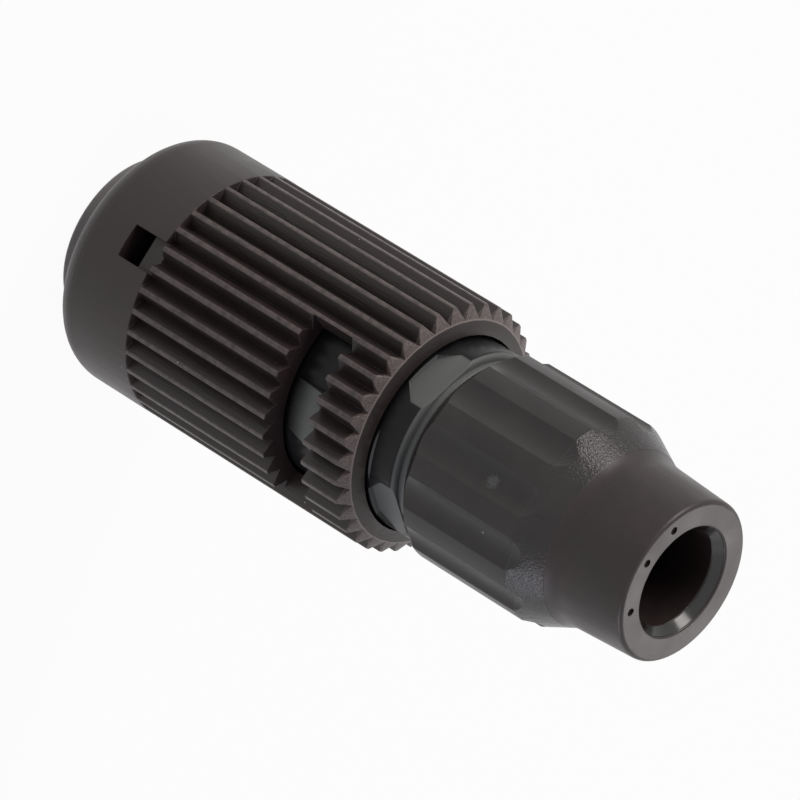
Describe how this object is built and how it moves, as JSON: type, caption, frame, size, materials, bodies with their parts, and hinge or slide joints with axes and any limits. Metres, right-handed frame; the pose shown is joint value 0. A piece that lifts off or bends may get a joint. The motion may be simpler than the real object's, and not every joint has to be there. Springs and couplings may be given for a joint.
{
  "type": "inline socket connector",
  "caption": "Round inline cable connector with socket contacts in a round nose, a knurled twist-lock sleeve with side windows, and a fluted cable gland nut.",
  "frame": {"origin": "centre of the flat mating face on the nose, which is the surface the connector stands on", "axes": "+Z along the connector's axis towards the cable gland; one of the sleeve's two index holes lies on the -Y side"},
  "size_m": [0.019, 0.019, 0.0542],
  "materials": {
    "sleeve_plastic": "satin moulded glass-filled nylon, brown-black",
    "body_plastic": "glossy moulded, black",
    "nut_plastic": "satin moulded, dark grey",
    "insert_plastic": "matt moulded, black",
    "cage_plastic": "natural acetal",
    "washer_plastic": "natural, smooth",
    "seal_rubber": "black, fine matt",
    "contact_brass": "gold-plated",
    "spring_steel": "stainless, rolled"
  },
  "bodies": {
    "connector": {"connector_body": "body_plastic", "contact_insert": "insert_plastic", "contact_retainer": "insert_plastic", "insert_snap_ring": "spring_steel", "nose_seal_ring": "seal_rubber", "sleeve_drag_ring": "seal_rubber", "spigot_seal_ring": "seal_rubber", "flange_gasket": "seal_rubber", "slide_washer": "washer_plastic", "seal_collar": "body_plastic", "clamp_cage": "cage_plastic", "cable_seal": "seal_rubber", "socket_contact_1": "contact_brass", "socket_contact_2": "contact_brass", "socket_contact_3": "contact_brass", "socket_contact_4": "contact_brass", "socket_contact_5": "contact_brass", "contact_hood_1": "spring_steel", "contact_hood_2": "spring_steel", "contact_hood_3": "spring_steel", "contact_hood_4": "spring_steel", "contact_hood_5": "spring_steel"},
    "sleeve": {"coupling_sleeve": "sleeve_plastic"},
    "gland_thrust": {"thrust_washer": "washer_plastic"},
    "gland_nut": {"gland_nut": "nut_plastic"}
  },
  "joints": [
    {"name": "sleeve_turn", "type": "hinge", "parent": "connector", "child": "sleeve", "pos_m": [0, 0, 0], "axis": [0, 0, 1], "range_deg": [-37, 27.5]},
    {"name": "gland_travel", "type": "slide", "parent": "connector", "child": "gland_thrust", "axis": [0, 0, 1], "range_m": [0, 0.00401]},
    {"name": "gland_turn", "type": "hinge", "parent": "gland_thrust", "child": "gland_nut", "pos_m": [0, 0, 0], "axis": [0, 0, 1], "range_deg": [0, 1440]}
  ],
  "couplings": [
    {"joint": "gland_travel", "follows": "gland_turn", "m_per_rad": 0.00015915}
  ]
}
